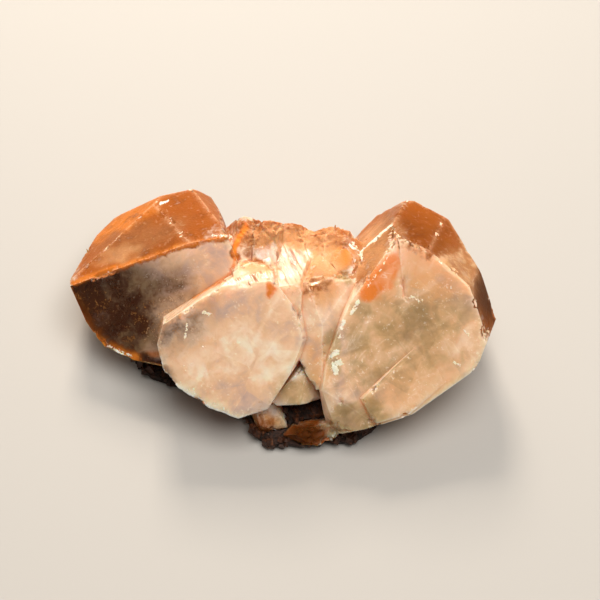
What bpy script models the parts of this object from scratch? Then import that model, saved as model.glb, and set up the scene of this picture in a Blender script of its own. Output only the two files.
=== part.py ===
"""Calcite specimen: a cluster of grown-together calcite crystals on a lump of iron-stained rock.

Metres, +Z up. The specimen rests on the flat underside of its rock, with its show side to the front
(-Y) and the origin under the middle of its box. The block crystals are drawn on a leaning picture
plane, which faces a viewer who looks down at the specimen from the front: ACROSS runs to the right,
UP runs up the plane and OUT comes towards the viewer. The lists are in millimetres and degrees. A
side's fall is the angle at which it drops away from the viewer: 0 faces the viewer, 90 is edge-on
and more is undercut.
"""

import math

import bmesh
import bpy
from mathutils import Matrix, Vector, noise

MM = 0.001

# Driving dimensions
VIEW_ELEVATION = math.radians(60.0)
CENTRE_DEPTH = 4.0 * MM
CENTRE_HEIGHT = 20.0 * MM
ROOT_HEIGHT = 3.0 * MM
BED_GAP = 0.3 * MM
STOCK_SIZE = 0.4
ON_CUT = 0.0001 * MM
WELD = 0.01 * MM

# The rock, as a low mound cut off flat at the bottom: the middle of its outline, how far it reaches
# from there every 20 degrees round from the right, the height of its rim, its rise from the rim to
# the top, its tuck below the rim, and the lumps and knobs on it as (height, width)
ROCK_MIDDLE = (-2.0, -4.0)
ROCK_REACH = (36, 38, 35, 30, 26, 25.5, 29, 35, 39, 37, 21, 16.5, 18, 19.5, 22, 24, 24.5, 27)
ROCK_RIM = 2.4
ROCK_RISE = 8.0
ROCK_TUCK = 9.0
ROCK_LUMPS = (2.8, 13.0)
ROCK_KNOBS = (1.5, 4.5)
ROCK_FINENESS = 5
ROCK_SHARP_ANGLE = math.radians(35.0)

# The finishes: base colour, and roughness from 0 to 1
CALCITE_FINISH = ((0.78, 0.58, 0.42), 0.22)
ROCK_FINISH = ((0.055, 0.03, 0.022), 0.85)

ACROSS = Vector((1.0, 0.0, 0.0))
UP = Vector((0.0, math.sin(VIEW_ELEVATION), math.cos(VIEW_ELEVATION)))
OUT = Vector((0.0, -math.cos(VIEW_ELEVATION), math.sin(VIEW_ELEVATION)))
PLANE_CENTRE = Vector((0.0, CENTRE_DEPTH, CENTRE_HEIGHT))

# Each block crystal: the plane of its front face as (out at the centre, slope across, slope up), its
# depth behind that face, then that face's corners clockwise as (across, up, fall of the side that
# runs to the next corner), and last its outer edges, also clockwise, as lines of (across, up, out,
# fall of the face that starts at the edge to the next point).
BLOCK_CRYSTALS = {
    "left": (
        (6.1, 0.233, 0.112),
        22.5,
        [
            (-54.5, 3.3, 45),
            (-25.6, 13.3, 47),
            (-16.2, 14.8, 78),
            (-8.8, 8.8, 90),
            (-8.8, -7.0, 100),
            (-23.4, -17.4, 120),
            (-39.4, -14.2, 105),
            (-46.6, -11.1, 105),
            (-50.7, -5.2, 105),
        ],
        [
            [(-52.7, 6.7, -8.4, 67), (-35.1, 23.2, -12.8)],
            [
                (-54.9, 3.3, -9.4, 100),
                (-52.0, 10.6, -16.8, 102),
                (-49.7, 15.4, -22.5, 104),
                (-45.5, 19.9, -23.9, 104),
                (-40.3, 22.6, -21.7, 104),
                (-33.9, 24.9, -15.1, 102),
                (-27.6, 26.9, -12.9, 100),
                (-25.0, 27.0, -12.0, 96),
                (-21.9, 26.0, -10.1, 92),
                (-19.8, 22.6, -5.6, 90),
                (-18.4, 19.0, -1.5),
            ],
            [(-38.0, -15.5, -9.5, 138), (-54.5, 1.0, -11.0)],
            [(-43.9, 9.3, -24.1, 150), (-48.1, 18.3, -24.1)],
        ],
    ),
    "centre": (
        (8.4, 0.0, 0.12),
        25.0,
        [
            (-17.9, 3.2, 42.5),
            (-6.0, 4.5, 65),
            (-0.5, -2.8, 62),
            (0.7, -9.2, 66),
            (-2.3, -17.3, 88),
            (-7.4, -25.2, 108),
            (-14.3, -27.5, 118),
            (-21.2, -24.9, 112),
            (-28.1, -20.3, 103),
            (-31.5, -16.1, 92),
            (-32.9, -10.3, 84),
            (-31.5, -5.7, 79),
            (-24.1, -0.7, 77),
        ],
        [
            [(-20.0, 15.5, -2.0, 116), (4.0, 15.5, -2.0)],
            [(3.2, -3.0, 3.0, 88), (3.2, -9.0, 2.0, 92), (0.0, -16.5, 2.0)],
        ],
    ),
    "right": (
        (8.0, -0.03, 0.086),
        29.0,
        [
            (22.4, 14.5, 54),
            (29.8, 11.5, 55),
            (39.1, 3.4, 60),
            (42.3, -6.4, 56),
            (42.9, -10.4, 84),
            (41.1, -15.2, 106),
            (39.9, -16.6, 110),
            (25.9, -26.6, 98),
            (12.0, -31.0, 62),
            (8.1, -27.2, 60),
            (5.1, -20.7, 66),
            (6.4, -13.8, 72),
            (9.2, -5.7, 66),
            (11.9, 0.0, 53),
        ],
        [
            [(17.1, -28.6, 5.0, 21), (8.0, -22.6, 5.8)],
            [(14.4, 11.6, 2.0, 77), (21.5, 17.5, 5.6)],
            [
                (12.0, 14.8, -6.0, 96),
                (14.8, 17.9, -8.0, 98),
                (17.9, 21.0, -8.0, 98),
                (24.9, 23.6, -3.6, 98),
                (27.1, 23.6, -4.4, 98),
                (36.2, 18.4, -5.2, 97),
                (37.8, 16.3, -5.0, 96),
                (40.2, 11.8, -3.5, 95),
                (42.5, 5.6, -1.0, 95),
                (46.7, -2.8, -2.2, 95),
                (43.7, -10.8, 4.0),
            ],
            [(17.0, 22.5, -13.0, 128), (37.0, 21.0, -13.0)],
            [(37.0, 20.0, -13.0, 124), (45.5, 2.0, -11.0)],
            [(7.6, -32.4, 2.0, 96), (5.9, -30.0, 2.0, 96), (4.6, -21.0, 3.0)],
            [(44.0, -3.0, -8.0, 138), (33.0, -18.0, -3.5)],
        ],
    ),
    "right_plate": (
        (8.71, -0.075, 0.041),
        1.8,
        [
            (14.3, -22.9, 60),
            (21.6, -15.5, 62),
            (27.5, -10.0, 60),
            (39.0, -14.5, 108),
            (25.6, -26.2, 104),
            (17.3, -28.6, 70),
        ],
        [],
    ),
    "right_step": (
        (10.6, -0.136, 0.116),
        2.4,
        [
            (22.7, 14.3, 60),
            (29.8, 11.3, 60),
            (31.4, 2.8, 56),
            (27.8, 0.0, 50),
            (23.9, 0.2, 52),
        ],
        [],
    ),
    "middle": (
        (7.2, -0.1, 0.01),
        24.0,
        [
            (-2.3, 1.0, 60),
            (0.9, 3.8, 40),
            (7.4, 5.4, 44),
            (12.4, 5.0, 60),
            (13.3, 3.8, 86),
            (5.4, -20.9, 100),
            (3.6, -21.2, 96),
            (0.0, -15.4, 92),
            (-2.3, -3.0, 80),
        ],
        [
            [(5.1, -21.0, 4.7, 12), (5.1, -6.0, 6.6)],
            [(5.1, -6.0, 6.6, 15), (5.1, -21.0, 4.7)],
            [(-4.0, 10.2, 1.0, 112), (14.0, 10.2, 1.0)],
        ],
    ),
    "crest": (
        (7.8, -0.05, 0.1),
        16.0,
        [
            (-6.9, 2.9, 42.5),
            (-0.3, 3.7, 58),
            (0.7, 0.0, 62),
            (0.7, -3.4, 75),
            (-2.3, -4.2, 80),
            (-5.0, 0.0, 80),
        ],
        [
            [
                (-7.4, 5.0, 7.0, 74),
                (-6.6, 11.2, 1.2, 76),
                (-5.2, 13.4, -1.0, 80),
                (-3.4, 14.5, -2.0, 100),
                (-0.7, 14.4, -1.8, 84),
                (0.9, 13.2, -0.4, 74),
                (2.2, 8.8, 3.8, 70),
                (0.8, 4.6, 7.4),
            ],
        ],
    ),
    "shelf": (
        (9.95, 0.0, -0.5),
        14.0,
        [
            (-15.4, 6.2, 70),
            (-13.8, 7.8, 72),
            (-11.5, 8.6, 76),
            (-7.8, 8.6, 76),
            (-5.5, 7.4, 76),
            (-5.1, 3.5, 80),
            (-15.0, 3.5, 80),
        ],
        [],
    ),
    "saddle_1": (
        (5.6, 0.1, -0.3),
        15.0,
        [
            (-16.2, 13.6, 72),
            (-14.7, 17.5, 55),
            (-12.8, 18.7, 58),
            (-11.2, 17.2, 62),
            (-10.3, 12.8, 75),
            (-11.0, 6.9, 85),
            (-16.0, 6.9, 80),
        ],
        [
            [(-14.4, 8.0, 3.1, 30), (-14.0, 18.0, -0.2)],
            [(-16.0, 19.6, -3.0, 110), (-10.0, 19.6, -3.0)],
        ],
    ),
    "saddle_2": (
        (6.2, -0.1, -0.3),
        15.0,
        [
            (-10.9, 14.2, 60),
            (-8.9, 16.6, 48),
            (-6.5, 17.1, 52),
            (-5.2, 14.5, 70),
            (-5.6, 6.9, 85),
            (-11.0, 6.9, 80),
        ],
        [[(-12.0, 17.9, -2.0, 112), (-5.0, 17.9, -2.0)]],
    ),
    "saddle_3": (
        (4.4, 0.0, -0.4),
        15.0,
        [
            (-5.4, 14.5, 60),
            (-3.8, 17.1, 52),
            (-1.9, 17.5, 55),
            (0.0, 16.0, 62),
            (1.2, 13.4, 75),
            (0.0, 8.0, 85),
            (-4.7, 8.0, 80),
        ],
        [[(-5.0, 18.2, -3.5, 112), (2.0, 18.2, -3.5)]],
    ),
    "saddle_4": (
        (8.2, 0.0, -0.55),
        15.0,
        [
            (0.9, 13.1, 58),
            (3.0, 14.5, 62),
            (5.1, 15.4, 55),
            (7.3, 16.6, 52),
            (9.1, 15.2, 60),
            (10.5, 13.5, 72),
            (10.0, 6.8, 85),
            (1.9, 6.8, 80),
        ],
        [
            [(4.6, 7.0, 4.2, 28), (6.2, 16.0, -0.6)],
            [(1.0, 17.6, -2.0, 112), (11.0, 17.6, -2.0)],
        ],
    ),
    "saddle_5": (
        (7.4, 0.05, -0.4),
        14.0,
        [
            (7.6, 8.4, 50),
            (10.0, 12.6, 40),
            (10.8, 12.8, 52),
            (13.0, 8.2, 66),
            (12.0, 6.0, 60),
            (8.6, 6.4, 50),
        ],
        [[(8.0, 14.2, -2.0, 112), (13.0, 14.2, -2.0)]],
    ),
    "gap": (
        (3.0, 0.12, 0.0),
        9.0,
        [
            (0.2, -15.9, 70),
            (3.0, -19.9, 78),
            (4.2, -22.9, 85),
            (0.7, -24.3, 96),
            (-5.4, -24.6, 92),
            (-6.6, -23.6, 80),
            (-3.5, -19.9, 76),
        ],
        [[(1.6, -15.0, 3.2, 34), (0.0, -25.0, 2.8)]],
    ),
    "gap_low": (
        (10.1, 0.12, 0.3),
        7.0,
        [
            (-10.2, -26.0, 80),
            (-6.6, -24.6, 70),
            (-4.6, -28.6, 60),
            (-7.2, -29.9, 60),
            (-9.4, -29.4, 70),
        ],
        [[(-8.2, -25.0, 1.2, 24), (-7.0, -31.0, -0.4)]],
    ),
    "gap_foot": (
        (13.2, -0.1, 0.35),
        6.0,
        [
            (-0.8, -31.2, 66),
            (1.6, -29.6, 76),
            (8.4, -28.6, 80),
            (8.8, -31.6, 70),
            (5.6, -33.4, 52),
            (1.2, -33.2, 56),
        ],
        [[(2.6, -29.0, 2.6, 16), (3.4, -35.0, 0.5)]],
    ),
}

# Each pointed crystal: its tip as (x, y, z) in millimetres, the way it points as (heading, climb),
# its width and length, the slope of the faces of its point, and its turn about its own axis.
POINTED_CRYSTALS = [
    ((-14.0, 25.0, 15.0), 95, 30, 8.0, 14.0, 40, 10),
    ((-6.0, 27.0, 11.0), 85, 15, 9.0, 14.0, 35, 40),
    ((4.0, 25.5, 16.0), 75, 35, 8.5, 14.0, 40, 5),
    ((12.0, 26.0, 10.0), 80, 10, 8.0, 14.0, 38, 25),
    ((-1.0, 23.5, 21.0), 95, 45, 7.0, 12.0, 45, 33),
    ((9.0, 23.0, 22.0), 85, 50, 6.5, 12.0, 42, 12),
    ((-9.5, 23.0, 20.5), 100, 50, 6.0, 12.0, 42, 50),
]


def on_plane(across, up, out):
    """A point given in millimetres on the picture plane, in metres in space."""
    return PLANE_CENTRE + (ACROSS * across + UP * up + OUT * out) * MM


def side_face(here, there, fall):
    """The face through the edge from here to there, dropping away from the viewer by fall degrees."""
    along = (there - here).normalized()
    outward = OUT.cross(along).normalized()
    level_way = outward.cross(along).normalized()
    if level_way.dot(OUT) < 0.0:
        level_way.negate()
    tilt = math.radians(fall)
    return here, outward * math.sin(tilt) + level_way * math.cos(tilt)


def block_faces(front, depth, corners, edges):
    """Each face of a block crystal as (point, direction)."""
    level, slope_across, slope_up = front
    front_way = (OUT - ACROSS * slope_across - UP * slope_up).normalized()
    ring = [on_plane(a, u, level + slope_across * a + slope_up * u) for a, u, fall in corners]
    faces = [(ring[0], front_way), (ring[0] - front_way * depth * MM, -front_way)]
    for index, corner in enumerate(ring):
        faces.append(side_face(corner, ring[(index + 1) % len(ring)], corners[index][2]))
    for line in edges:
        for start, end in zip(line, line[1:]):
            faces.append(side_face(on_plane(*start[:3]), on_plane(*end[:3]), start[3]))
    return faces


def cut_block(name, faces, grow=0.0):
    """A closed block with the given faces, each moved outwards by grow."""
    mesh = bmesh.new()
    bmesh.ops.create_cube(mesh, size=STOCK_SIZE)
    root = (Vector((0.0, 0.0, ROOT_HEIGHT)), Vector((0.0, 0.0, -1.0)))
    for point, way in faces + [root]:
        cut = bmesh.ops.bisect_plane(
            mesh,
            geom=mesh.verts[:] + mesh.edges[:] + mesh.faces[:],
            dist=ON_CUT,
            plane_co=point + way * grow,
            plane_no=way,
            clear_outer=True,
        )
        rim = [item for item in cut["geom_cut"] if isinstance(item, bmesh.types.BMEdge)]
        if rim:
            bmesh.ops.edgeloop_fill(mesh, edges=rim)
    bmesh.ops.remove_doubles(mesh, verts=mesh.verts, dist=WELD)
    bmesh.ops.recalc_face_normals(mesh, faces=mesh.faces)
    data = bpy.data.meshes.new(name)
    mesh.to_mesh(data)
    mesh.free()
    return bpy.data.objects.new(name, data)


def pointed_faces(tip, heading, climb, width, length, slope, turn):
    """Each face of a six-sided crystal with a three-faced point, as (point, direction)."""
    heading = math.radians(heading)
    climb = math.radians(climb)
    level = Vector((math.cos(heading), math.sin(heading), 0.0))
    axis = level * math.cos(climb) + Vector((0.0, 0.0, math.sin(climb)))
    across = axis.cross(level * -math.sin(climb) + Vector((0.0, 0.0, math.cos(climb))))
    above = across.cross(axis)
    top = Vector(tip) * MM
    faces = [(top - axis * length * MM, -axis)]
    for index in range(6):
        bearing = math.radians(60.0 * index + turn)
        outward = across * math.cos(bearing) + above * math.sin(bearing)
        faces.append((top + outward * width * 0.5 * MM, outward))
        if index % 2 == 0:
            tilt = math.radians(slope)
            faces.append((top, outward * math.sin(tilt) + axis * math.cos(tilt)))
    return faces


def rock_reach(bearing):
    """How far the rock's outline lies from its middle at a bearing, in millimetres."""
    place = (bearing % (2.0 * math.pi)) / (2.0 * math.pi) * len(ROCK_REACH)
    before = int(place) % len(ROCK_REACH)
    after = (before + 1) % len(ROCK_REACH)
    blend = 0.5 - 0.5 * math.cos((place - int(place)) * math.pi)
    return ROCK_REACH[before] * (1.0 - blend) + ROCK_REACH[after] * blend


def rough_rock():
    """The rock before the crystals' beds are cut: a knobbly mound with a flat underside."""
    mesh = bmesh.new()
    bmesh.ops.create_icosphere(mesh, subdivisions=ROCK_FINENESS, radius=1.0)
    for vert in mesh.verts:
        outward = vert.co.copy()
        spread = math.hypot(outward.x, outward.y)
        reach = rock_reach(math.atan2(outward.y, outward.x)) * spread
        height = ROCK_RIM + outward.z * ROCK_TUCK
        if outward.z > 0.0:
            height = ROCK_RIM + ROCK_RISE * (1.0 - spread)
        turn = math.atan2(outward.y, outward.x)
        place = Vector(
            (ROCK_MIDDLE[0] + reach * math.cos(turn), ROCK_MIDDLE[1] + reach * math.sin(turn), height)
        )
        rise = sum(size * noise.noise(place / width) for size, width in (ROCK_LUMPS, ROCK_KNOBS))
        vert.co = (place + outward * rise) * MM
    cut = bmesh.ops.bisect_plane(
        mesh,
        geom=mesh.verts[:] + mesh.edges[:] + mesh.faces[:],
        dist=ON_CUT,
        plane_co=(0.0, 0.0, 0.0),
        plane_no=(0.0, 0.0, -1.0),
        clear_outer=True,
    )
    rim = [item for item in cut["geom_cut"] if isinstance(item, bmesh.types.BMEdge)]
    bmesh.ops.edgeloop_fill(mesh, edges=rim)
    bmesh.ops.recalc_face_normals(mesh, faces=mesh.faces)
    data = bpy.data.meshes.new("rough_rock")
    mesh.to_mesh(data)
    mesh.free()
    return bpy.data.objects.new("rough_rock", data)


def combined(name, base, others, operation):
    """A new object: base joined with the others, or cut by them. Their objects are used up."""
    group = bpy.data.collections.new(name + "_tools")
    bpy.context.scene.collection.children.link(group)
    bpy.context.scene.collection.objects.link(base)
    for other in others:
        group.objects.link(other)
    change = base.modifiers.new(operation, "BOOLEAN")
    change.operation = operation
    change.operand_type = "COLLECTION"
    change.collection = group
    change.solver = "EXACT"
    seen = base.evaluated_get(bpy.context.evaluated_depsgraph_get())
    result = bpy.data.objects.new(name, bpy.data.meshes.new_from_object(seen))
    result.data.name = name
    for used in [base] + others:
        bpy.data.objects.remove(used)
    bpy.data.collections.remove(group)
    return result


def keep_main_shell(data):
    """Leaves only the largest connected shell, so no crumb or sealed hollow stays in the mesh."""
    mesh = bmesh.new()
    mesh.from_mesh(data)
    bmesh.ops.remove_doubles(mesh, verts=mesh.verts, dist=WELD)
    bmesh.ops.dissolve_degenerate(mesh, edges=mesh.edges, dist=WELD)
    waiting = set(mesh.verts)
    shells = []
    while waiting:
        shell = {waiting.pop()}
        to_visit = list(shell)
        while to_visit:
            vert = to_visit.pop()
            for edge in vert.link_edges:
                other = edge.other_vert(vert)
                if other not in shell:
                    shell.add(other)
                    to_visit.append(other)
        waiting -= shell
        shells.append(shell)
    shells.sort(key=len, reverse=True)
    for shell in shells[1:]:
        bmesh.ops.delete(mesh, geom=list(shell), context="VERTS")
    mesh.to_mesh(data)
    mesh.free()


def crystal_blocks(grow=0.0):
    """Every crystal as its own closed block, with each of its faces moved outwards by grow."""
    blocks = [cut_block(name, block_faces(*shape), grow) for name, shape in BLOCK_CRYSTALS.items()]
    for index, shape in enumerate(POINTED_CRYSTALS):
        blocks.append(cut_block("point_%d" % index, pointed_faces(*shape), grow))
    return blocks


def finish(made, base_colour, roughness):
    """Gives an object its own material."""
    material = bpy.data.materials.new(made.name)
    material.use_nodes = True
    shader = material.node_tree.nodes["Principled BSDF"]
    shader.inputs["Base Color"].default_value = (*base_colour, 1.0)
    shader.inputs["Roughness"].default_value = roughness
    shader.inputs["Metallic"].default_value = 0.0
    made.data.materials.clear()
    made.data.materials.append(material)


def joined_crystals(name, grow=0.0):
    """All the crystals joined in one solid, because they grew through each other."""
    first, *others = crystal_blocks(grow)
    return combined(name, first, others, "UNION")


def calcite_crystals():
    """The crystals themselves."""
    made = joined_crystals("calcite_crystals")
    keep_main_shell(made.data)
    finish(made, *CALCITE_FINISH)
    return made


def matrix_rock():
    """The rock, with the crystals' bed cut in it, a little larger than they are."""
    made = combined("matrix_rock", rough_rock(), [joined_crystals("bed", BED_GAP)], "DIFFERENCE")
    keep_main_shell(made.data)
    made.data.shade_smooth()
    made.data.set_sharp_from_angle(angle=ROCK_SHARP_ANGLE)
    finish(made, *ROCK_FINISH)
    return made


def centre_on_origin(pieces):
    """Moves the pieces together, so that the origin lies under the middle of their box."""
    points = [vert.co for piece in pieces for vert in piece.data.vertices]
    middle = [0.5 * (min(way) + max(way)) for way in zip(*points)]
    for piece in pieces:
        piece.data.transform(Matrix.Translation((-middle[0], -middle[1], 0.0)))


def main():
    for old in list(bpy.data.objects):
        bpy.data.objects.remove(old)
    pieces = [calcite_crystals(), matrix_rock()]
    centre_on_origin(pieces)
    for piece in pieces:
        bpy.context.scene.collection.objects.link(piece)


main()
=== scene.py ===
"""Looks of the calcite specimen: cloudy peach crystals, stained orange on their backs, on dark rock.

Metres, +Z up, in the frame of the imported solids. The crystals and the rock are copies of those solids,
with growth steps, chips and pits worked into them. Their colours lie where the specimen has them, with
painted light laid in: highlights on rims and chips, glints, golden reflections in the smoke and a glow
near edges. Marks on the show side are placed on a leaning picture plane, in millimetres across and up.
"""

import math
import random
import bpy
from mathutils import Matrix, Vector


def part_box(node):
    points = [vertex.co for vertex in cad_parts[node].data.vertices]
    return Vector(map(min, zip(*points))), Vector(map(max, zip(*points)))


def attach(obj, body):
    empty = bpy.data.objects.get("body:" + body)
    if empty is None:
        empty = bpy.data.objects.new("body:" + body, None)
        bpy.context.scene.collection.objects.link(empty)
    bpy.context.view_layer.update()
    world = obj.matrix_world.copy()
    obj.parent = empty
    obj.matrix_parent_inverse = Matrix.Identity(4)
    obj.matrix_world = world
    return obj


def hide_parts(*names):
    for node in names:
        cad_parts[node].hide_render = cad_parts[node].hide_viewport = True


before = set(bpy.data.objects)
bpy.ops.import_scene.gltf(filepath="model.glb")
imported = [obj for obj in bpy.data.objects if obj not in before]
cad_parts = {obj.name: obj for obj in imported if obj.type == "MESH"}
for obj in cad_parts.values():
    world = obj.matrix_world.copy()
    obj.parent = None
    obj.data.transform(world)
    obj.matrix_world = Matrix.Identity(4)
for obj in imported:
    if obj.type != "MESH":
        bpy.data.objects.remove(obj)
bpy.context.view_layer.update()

from types import SimpleNamespace

import bmesh
import bpy
import numpy as np
from mathutils import Matrix, Vector, kdtree, noise

bl_info = {
    "name": "Calcite Specimen",
    "version": (1, 0, 0),
    "blender": (4, 5, 0),
    "location": "3D View > Sidebar > Calcite",
    "description": "Dresses the solids of a calcite specimen and sets up its studio",
    "category": "Add Mesh",
}

MM = 0.001

# The viewer of the show side: where they look, how far above the level and from how far
VIEW_TARGET = Vector((4.40, -1.26, 20.0)) * MM
VIEW_ELEVATION = math.radians(60.0)
VIEW_DISTANCE = 450.0 * MM
VIEW_WIDTH = 140.2 * MM
SENSOR_WIDTH = 36.0

ACROSS = Vector((1.0, 0.0, 0.0))
UP = Vector((0.0, math.sin(VIEW_ELEVATION), math.cos(VIEW_ELEVATION)))
OUT = Vector((0.0, -math.cos(VIEW_ELEVATION), math.sin(VIEW_ELEVATION)))

# How the fine copies are made: corners nearer than the first length are one, an edge is halved when it
# is longer than wanted by the second factor, and then the rounds of halving, evening out and softening
WELD = 0.005 * MM
TOO_LONG = 1.35
REFINE_ROUNDS = 8
EVEN_ROUNDS = 4
SOFTEN_ROUNDS = 12

# Faces that meet at more than this have a sharp edge between them
CRYSTAL_CREASE = math.radians(6.0)
ROCK_CREASE = math.radians(50.0)

# The crystals' mesh is fine this near to an edge or a marked line. Points along them are this far
# apart, with the lines' in millimetres, and no distance from an edge counts as more than the last
FINE_REACH = 1.0 * MM
CREASE_STEP = 0.25 * MM
LINE_STEP = 1.0
FARTHEST = 6.0 * MM

# Sizes of the lumps in the noise that breaks up the crystals' relief and their marks
BROAD = 11.0 * MM
MEDIUM = 3.0 * MM
FINE = 0.9 * MM

# Growth ledges on the crystals: the way they climb, how far apart they are, and how far the broad and
# the medium lumps shift them, as a share of that
GROWTH_AXIS = Vector((0.45, -0.2, 0.87)).normalized()
LEDGE_SPACING = 3.2 * MM
LEDGE_BROAD = 1.3
LEDGE_MEDIUM = 0.25

# Heights of the crystals' ledges, swells and ripples, depths of a druse's lumps and grains, and depths
# of the edges' wear and chips, all in millimetres
LEDGE_HEIGHT = 0.05
SWELL_HEIGHT = 0.10
RIPPLE_HEIGHT = 0.05
DRUSE_LUMPS = 0.7
DRUSE_GRAINS = 0.35
EDGE_WEAR = 0.05
CHIP_DEPTH = 0.55

# Distances from an edge between which the relief rises from nothing and the chips end
RELIEF_EDGE = (0.2 * MM, 1.6 * MM)
CHIP_EDGE = (0.1 * MM, 1.1 * MM)

# A facet is a front one where it faces the viewer more than this, as a cosine
FRONT = 0.86

# Zones and lines fade out between these shares of their reach or width
ZONE_FADE = (0.3, 1.25)
LINE_FADE = (0.1, 1.2)

# How far the medium and the broad lumps shift the zones, in millimetres, and the lines' share of that
MEDIUM_WOBBLE = 1.6
BROAD_WOBBLE = 1.5
LINE_WOBBLE = 0.3

# How far the marks of the crystals' edges and seams reach: the painted highlight on rims that stick out,
# the painted glow near those edges, and the seams along hollow ones
RIM_HIGHLIGHT_REACH = 0.4 * MM
PAINTED_GLOW_REACH = 2.2 * MM
SEAM_REACH = 0.5 * MM

# Facets are stained from none to all as they turn away from the viewer, and rims get their painted
# highlight as they turn up, between these cosines
HIDDEN = (-0.35, 0.1)
LIT = (-0.1, 0.5)

# The Mix node's sockets for colours, which share their names with its other ones
MIX_SHARE = 0
MIX_FIRST = 6
MIX_SECOND = 7
MIX_RESULT = 2

CALCITE_IOR = 1.5

# Sizes of the crust's lumps and pits on the rock, and the heights between which the crust begins
CRUST_LUMPS = 3.5 * MM
CRUST_PITS = 1.4 * MM
CRUST_FOOT = (0.05 * MM, 1.2 * MM)

# The small crystals on the rock: their number, the least and most of their size in millimetres and of
# their stretch, how far they lean, the share of their size that is sunk, and the seed of their draws
ROCK_GRAINS = 900
ROCK_GRAIN_SIZES = (0.5, 1.8)
GRAIN_STRETCH = (0.8, 1.2)
GRAIN_LEAN = 0.3
GRAIN_SUNK = 0.2
GRAIN_SEED = 9

# They stand above this height, where the rock's normal points up by more than this
GRAINS_ABOVE = 1.0 * MM
GRAINS_STEEPEST = -0.3

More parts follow.
